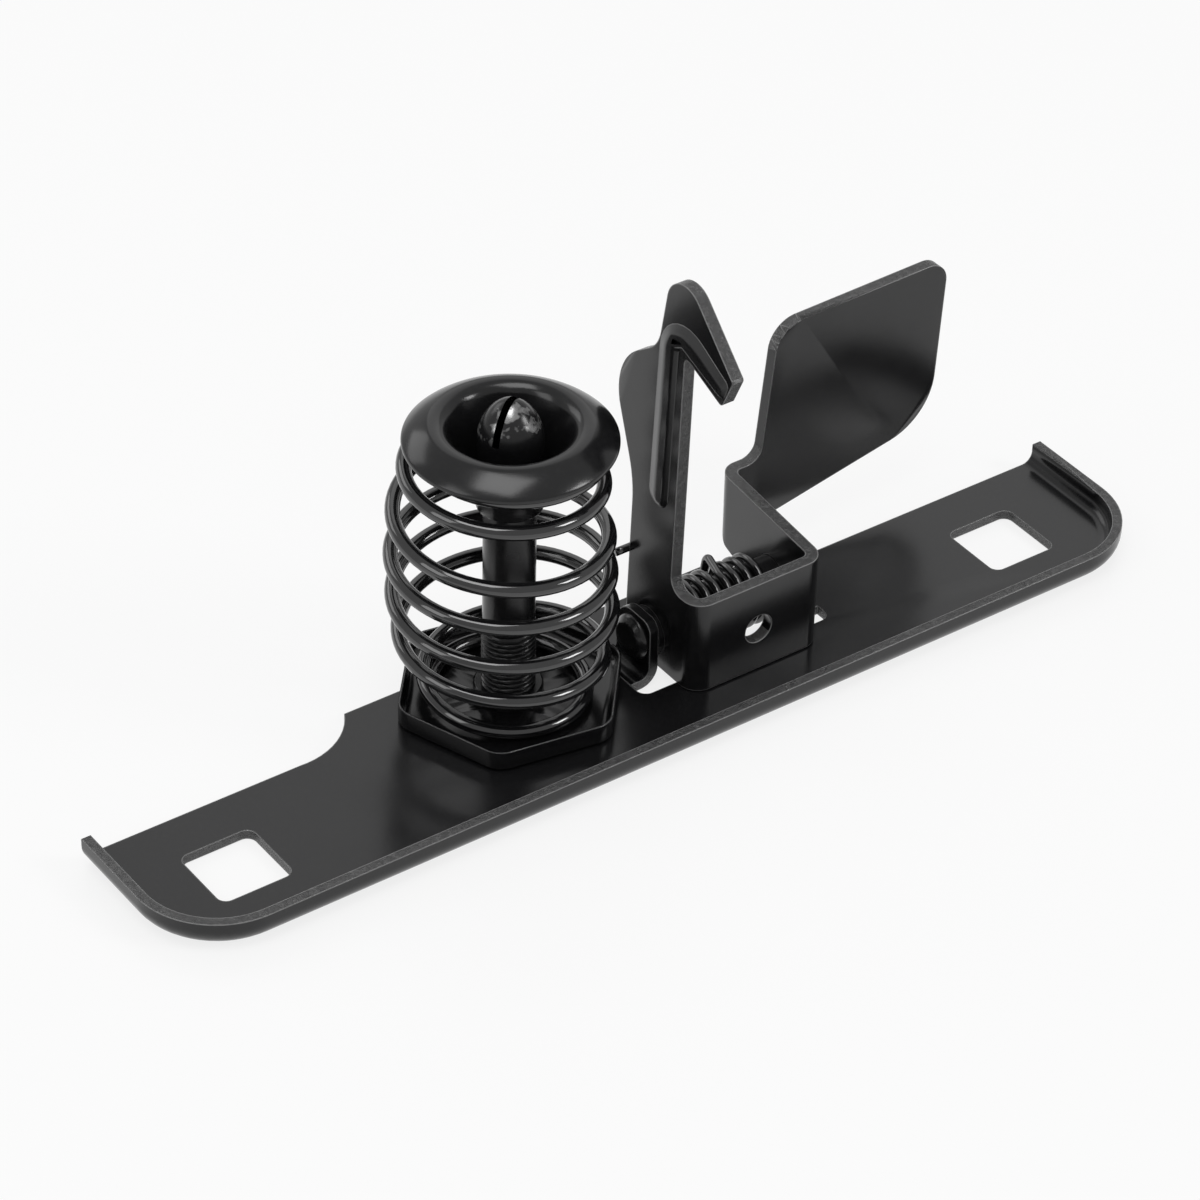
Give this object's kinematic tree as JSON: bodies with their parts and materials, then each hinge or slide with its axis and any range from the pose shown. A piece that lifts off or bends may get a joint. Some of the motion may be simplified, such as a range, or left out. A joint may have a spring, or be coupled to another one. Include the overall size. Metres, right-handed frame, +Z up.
{
  "type": "bonnet latch",
  "caption": "Spring-loaded bonnet latch: a plate with a slotted striker bolt in a barrel spring under a dished cup, and a sprung safety catch with a hook and a thumb paddle.",
  "frame": {"origin": "on the striker bolt's axis, in the plane of the base plate's underside", "axes": "+X along the plate towards the thumb paddle, +Y towards the plate's plain back edge, +Z up the striker bolt"},
  "size_m": [0.2241, 0.0547, 0.0911],
  "materials": {
    "coated_sheet": "gloss black electrophoretic coat",
    "coated_cup": "gloss black coat on smooth pressed sheet",
    "coated_bolt": "black finish on turned steel",
    "coated_wire": "gloss black coat on spring wire",
    "coated_pivot": "black finish on steel tube and rivet"
  },
  "bodies": {
    "base": {"base_plate": "coated_sheet", "spring_seat": "coated_sheet", "threaded_bush": "coated_bolt", "striker_bolt": "coated_bolt", "main_spring": "coated_wire", "pivot_sleeve": "coated_pivot", "pivot_rivet": "coated_pivot"},
    "cup": {"spring_cup": "coated_cup"},
    "catch": {"catch": "coated_sheet", "catch_spring": "coated_wire"}
  },
  "joints": [
    {"name": "cup_slide", "type": "slide", "parent": "base", "child": "cup", "axis": [0, 0, 1], "range_m": [-0.02, 0], "stiffness_N_per_m": 4000, "springref_m": 0.012, "deforming": ["main_spring"]},
    {"name": "catch_hinge", "type": "hinge", "parent": "base", "child": "catch", "pos_m": [0.0449, -0.0052, 0.0092], "axis": [1, 0, 0], "range_deg": [-13, 0], "stiffness_Nm_per_rad": 0.35, "springref_deg": 45.84}
  ]
}
